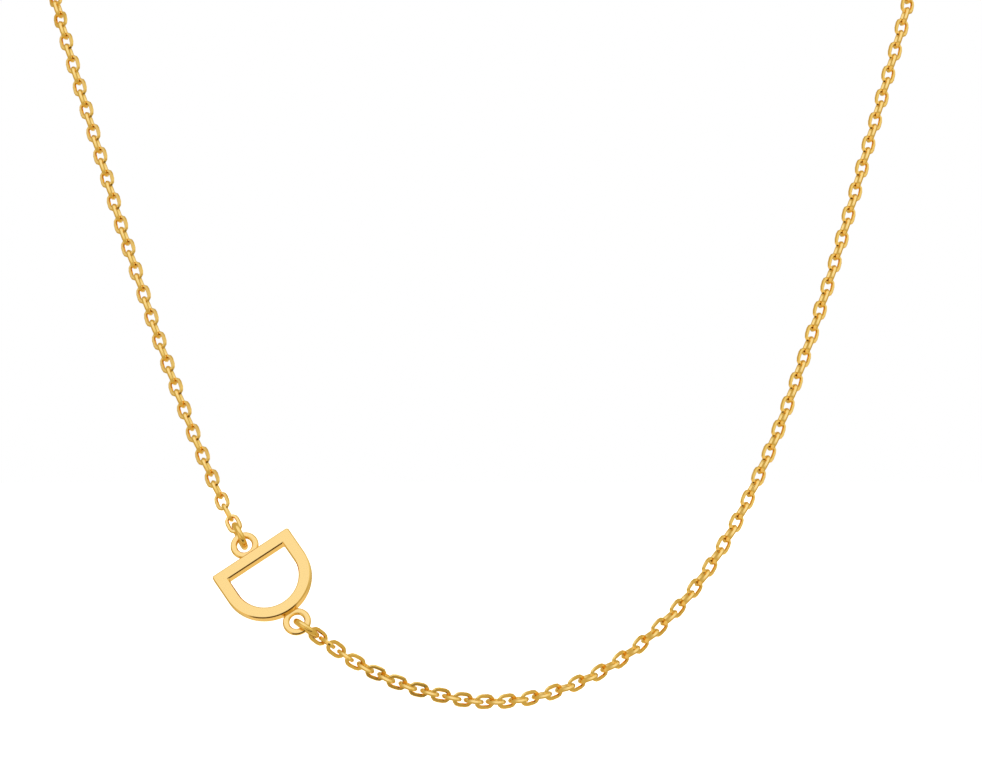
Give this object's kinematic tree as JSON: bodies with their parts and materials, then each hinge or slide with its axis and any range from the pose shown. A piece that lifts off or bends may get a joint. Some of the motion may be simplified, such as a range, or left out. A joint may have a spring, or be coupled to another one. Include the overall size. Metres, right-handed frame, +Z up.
{
  "type": "initial pendant necklace",
  "caption": "Sideways block letter D pendant, linked by an eye at each end into a whole loop of oval link cable chain that closes with a plain round clasp at the nape.",
  "frame": {"origin": "middle of the round clasp at the nape, where the necklace hangs on the back of the neck", "axes": "+Z up as it is worn, the wearer faces -Y, +X to the right of somebody who looks at them"},
  "size_m": [0.1069, 0.1166, 0.1231],
  "materials": {
    "polished_gold": "polished",
    "letter_gold": "polished"
  },
  "bodies": {
    "necklace": {"upper_jump_ring": "polished_gold", "lower_jump_ring": "polished_gold", "left_chain": "polished_gold", "right_chain": "polished_gold", "clasp": "polished_gold", "clasp_jump_ring": "polished_gold", "end_ring": "polished_gold"},
    "letter": {"initial_letter": "letter_gold"}
  },
  "joints": [
    {"name": "letter_swivel", "type": "hinge", "parent": "necklace", "child": "letter", "pos_m": [-0.02328, -0.10856, -0.10698], "axis": [-0.5334, 0.4081, 0.7409], "range_deg": [-30, 30]}
  ]
}
